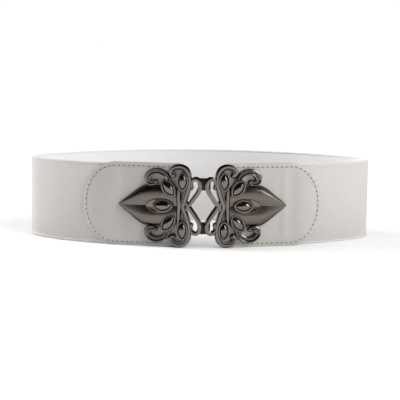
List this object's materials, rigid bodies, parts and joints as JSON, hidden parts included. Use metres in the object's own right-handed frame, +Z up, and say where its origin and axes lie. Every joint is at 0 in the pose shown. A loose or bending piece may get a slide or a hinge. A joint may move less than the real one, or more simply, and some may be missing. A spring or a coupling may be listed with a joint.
{
  "type": "wide elastic belt",
  "caption": "Wide elastic waist belt, fastened as a standing loop, with coated-fabric end panels and a two-part cast clasp of leaves and scrolls.",
  "frame": {"origin": "middle of the whole belt in plan, on the surface that it stands on", "axes": "+Z up across the belt's width, +X from the clasp's left half to its right half as seen from the front, -Y out through the clasp"},
  "size_m": [0.2624, 0.154, 0.0615],
  "materials": {
    "webbing": "woven elastic, matt, light silver grey",
    "coated_fabric": "smooth coated fabric, satin, warm silver grey, stitched",
    "black_nickel": "cast zinc alloy, polished and plated in black nickel"
  },
  "bodies": {
    "root": {"elastic_band": "webbing", "left_panel": "coated_fabric", "right_panel": "coated_fabric", "left_buckle": "black_nickel", "right_buckle": "black_nickel"}
  },
  "joints": []
}
